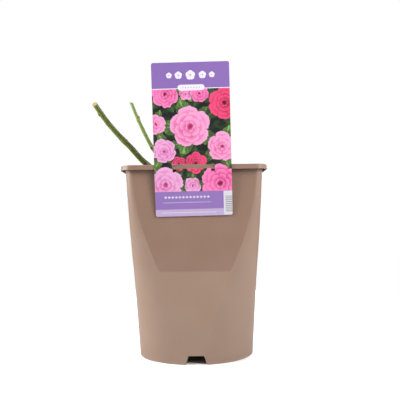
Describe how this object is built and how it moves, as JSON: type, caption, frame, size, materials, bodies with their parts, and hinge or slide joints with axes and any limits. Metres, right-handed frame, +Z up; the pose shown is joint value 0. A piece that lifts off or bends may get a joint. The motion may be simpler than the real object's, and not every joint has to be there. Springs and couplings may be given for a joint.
{
  "type": "potted rose bush",
  "caption": "Winter-pruned rose bush: bare tapering canes from one bud union, in compost in a plastic pot with a square rim and round foot, with a picture label hung on the rim.",
  "frame": {"origin": "on the floor, under the middle of the box round the whole thing; the pot's own axis stands 21.7 mm towards +X and 6.7 mm towards +Y of it", "axes": "+Z up; -Y is the front, where the label hangs; +X to the right as seen from the front"},
  "size_m": [0.2194, 0.1894, 0.3572],
  "materials": {
    "pot_plastic": "satin moulded taupe polypropylene",
    "compost": "damp, crumbly and fibrous",
    "old_bark": "rough grey-brown bark",
    "green_bark": "smooth satin green bark with brown mottling",
    "label_plastic": "printed satin plastic sheet"
  },
  "bodies": {
    "root": {"pot": "pot_plastic", "compost": "compost", "bud_union": "old_bark", "old_snag": "old_bark", "thick_cane": "green_bark", "slim_cane": "green_bark", "back_cane": "green_bark", "right_cane": "green_bark", "picture_label": "label_plastic"}
  },
  "joints": []
}
